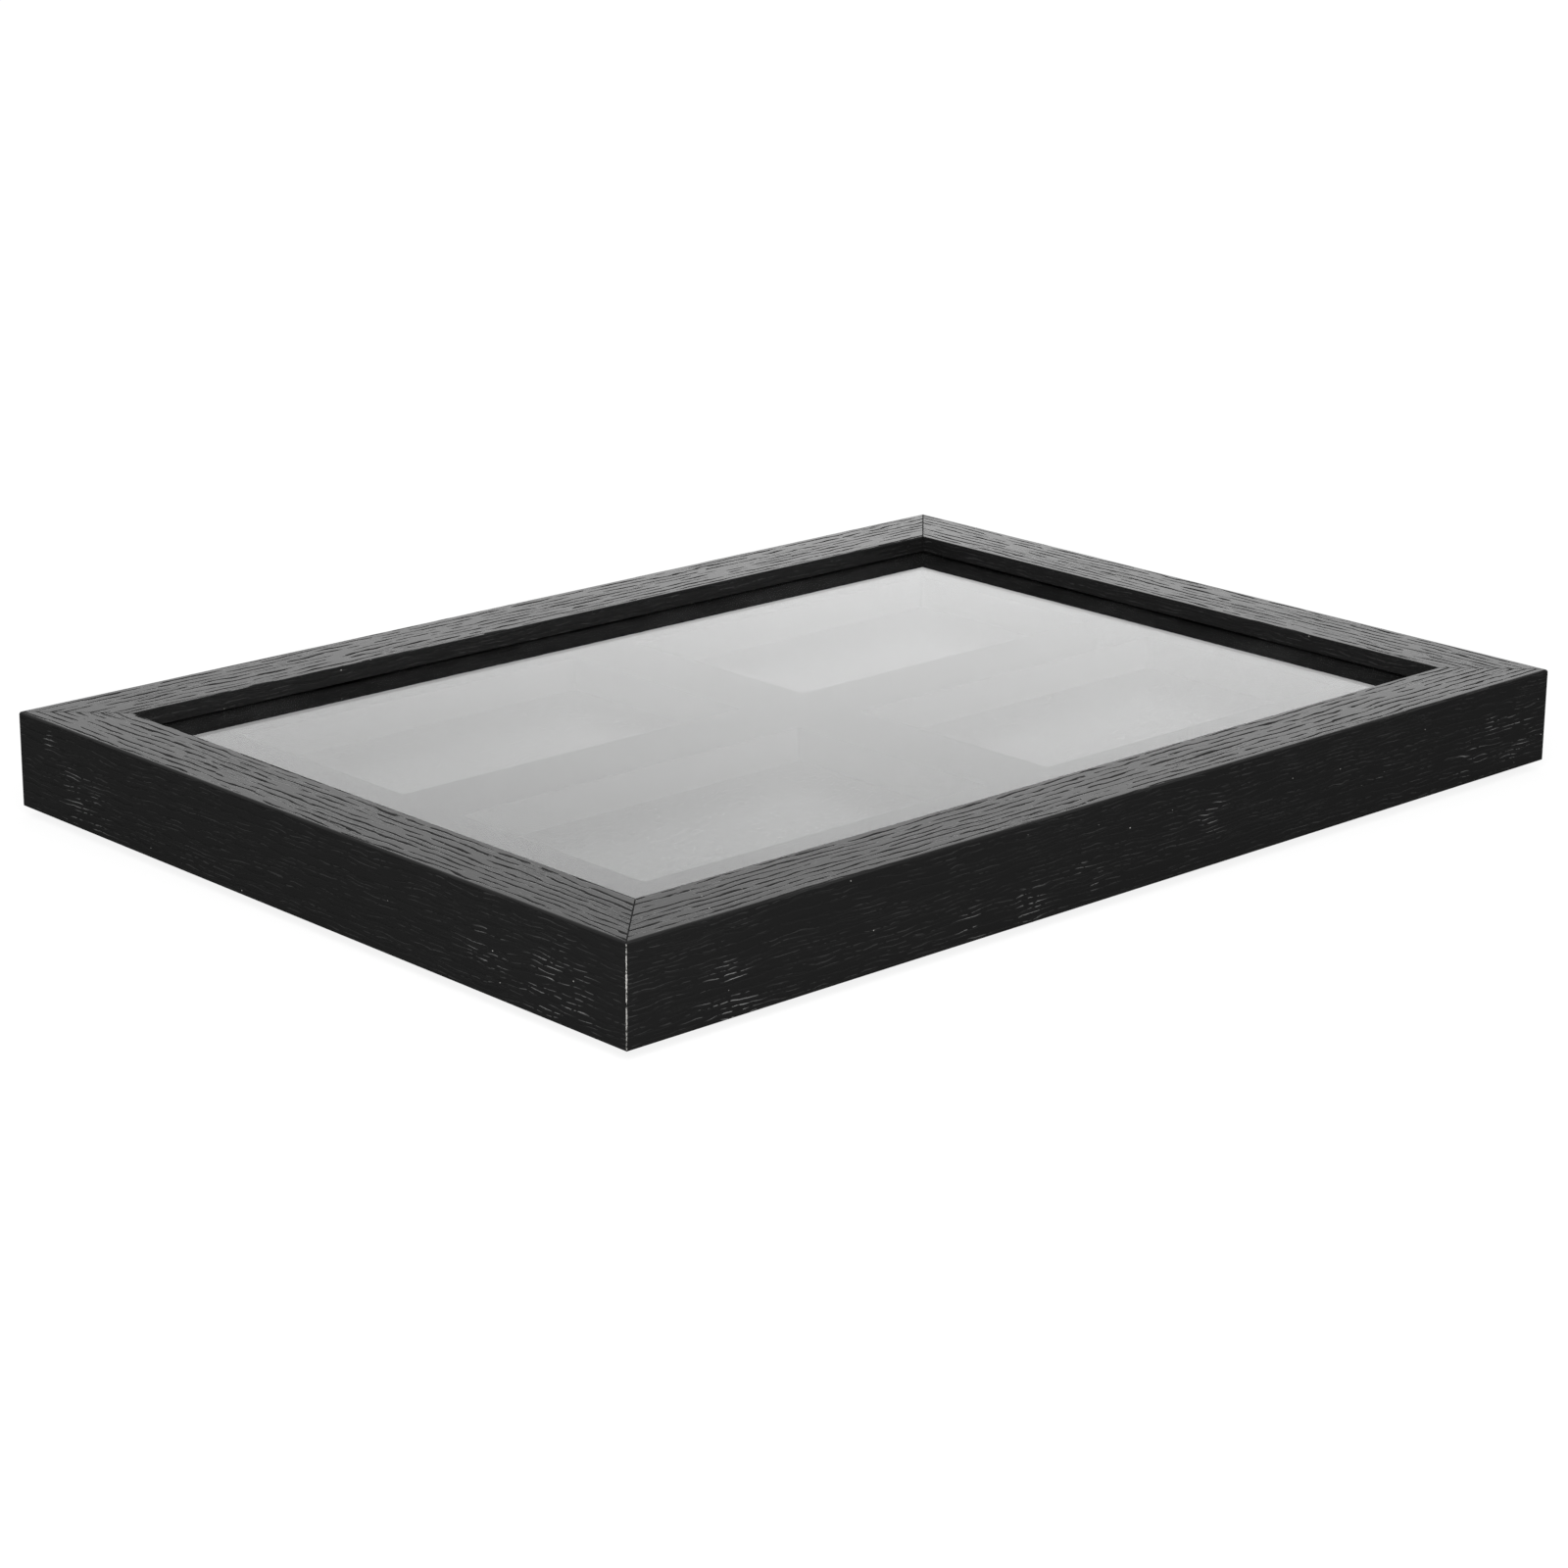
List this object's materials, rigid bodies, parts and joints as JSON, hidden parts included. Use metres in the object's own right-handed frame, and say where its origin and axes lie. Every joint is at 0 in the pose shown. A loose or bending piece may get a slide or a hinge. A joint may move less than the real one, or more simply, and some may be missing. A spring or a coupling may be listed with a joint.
{
  "type": "card display frame",
  "caption": "Black oak-grain shadow-box frame with a clear acrylic front and a foam insert of rectangular pockets for graded-card slabs, closed from behind by turn buttons.",
  "frame": {"origin": "middle of the footprint, on the surface that the bumpers stand on", "axes": "+X along the long side, +Y towards the top as the frame hangs in landscape, +Z out of the acrylic front"},
  "size_m": [0.406, 0.2944, 0.0347],
  "materials": {
    "black_stained_oak": "satin",
    "clear_acrylic": "gloss",
    "black_foam": "matte",
    "black_card": "satin",
    "brown_fibreboard": "matte",
    "zinc_plated_steel": "satin",
    "black_rubber": "matte"
  },
  "bodies": {
    "frame": {"top_rail": "black_stained_oak", "bottom_rail": "black_stained_oak", "left_rail": "black_stained_oak", "right_rail": "black_stained_oak", "acrylic_panel": "clear_acrylic", "foam_pocket_layer": "black_foam", "foam_base_layer": "black_foam", "back_board": "brown_fibreboard", "pocket_liner_top_left": "black_card", "pocket_liner_top_right": "black_card", "pocket_liner_bottom_left": "black_card", "pocket_liner_bottom_right": "black_card", "turn_button_screw_1": "zinc_plated_steel", "turn_button_screw_2": "zinc_plated_steel", "turn_button_screw_3": "zinc_plated_steel", "turn_button_screw_4": "zinc_plated_steel", "turn_button_screw_5": "zinc_plated_steel", "turn_button_screw_6": "zinc_plated_steel", "turn_button_screw_7": "zinc_plated_steel", "turn_button_screw_8": "zinc_plated_steel", "corner_nail_1": "zinc_plated_steel", "corner_nail_2": "zinc_plated_steel", "corner_nail_3": "zinc_plated_steel", "corner_nail_4": "zinc_plated_steel", "corner_nail_5": "zinc_plated_steel", "corner_nail_6": "zinc_plated_steel", "corner_nail_7": "zinc_plated_steel", "corner_nail_8": "zinc_plated_steel", "hanger_top": "zinc_plated_steel", "hanger_right": "zinc_plated_steel", "hanger_nail_1": "zinc_plated_steel", "hanger_nail_2": "zinc_plated_steel", "hanger_nail_3": "zinc_plated_steel", "hanger_nail_4": "zinc_plated_steel", "bumper_1": "black_rubber", "bumper_2": "black_rubber", "bumper_3": "black_rubber", "bumper_4": "black_rubber"},
    "button_1": {"turn_button_1": "zinc_plated_steel"},
    "button_2": {"turn_button_2": "zinc_plated_steel"},
    "button_3": {"turn_button_3": "zinc_plated_steel"},
    "button_4": {"turn_button_4": "zinc_plated_steel"},
    "button_5": {"turn_button_5": "zinc_plated_steel"},
    "button_6": {"turn_button_6": "zinc_plated_steel"},
    "button_7": {"turn_button_7": "zinc_plated_steel"},
    "button_8": {"turn_button_8": "zinc_plated_steel"}
  },
  "joints": [
    {"name": "button_1_swivel", "type": "hinge", "parent": "frame", "child": "button_1", "pos_m": [-0.09947, -0.1352, 0.0029], "axis": [0, 0, 1], "continuous": true},
    {"name": "button_2_swivel", "type": "hinge", "parent": "frame", "child": "button_2", "pos_m": [0.09947, -0.1352, 0.0029], "axis": [0, 0, 1], "continuous": true},
    {"name": "button_3_swivel", "type": "hinge", "parent": "frame", "child": "button_3", "pos_m": [0.191, -0.07213, 0.0029], "axis": [0, 0, 1], "continuous": true},
    {"name": "button_4_swivel", "type": "hinge", "parent": "frame", "child": "button_4", "pos_m": [0.191, 0.07213, 0.0029], "axis": [0, 0, 1], "continuous": true},
    {"name": "button_5_swivel", "type": "hinge", "parent": "frame", "child": "button_5", "pos_m": [0.09947, 0.1352, 0.0029], "axis": [0, 0, 1], "continuous": true},
    {"name": "button_6_swivel", "type": "hinge", "parent": "frame", "child": "button_6", "pos_m": [-0.09947, 0.1352, 0.0029], "axis": [0, 0, 1], "continuous": true},
    {"name": "button_7_swivel", "type": "hinge", "parent": "frame", "child": "button_7", "pos_m": [-0.191, 0.07213, 0.0029], "axis": [0, 0, 1], "continuous": true},
    {"name": "button_8_swivel", "type": "hinge", "parent": "frame", "child": "button_8", "pos_m": [-0.191, -0.07213, 0.0029], "axis": [0, 0, 1], "continuous": true}
  ]
}
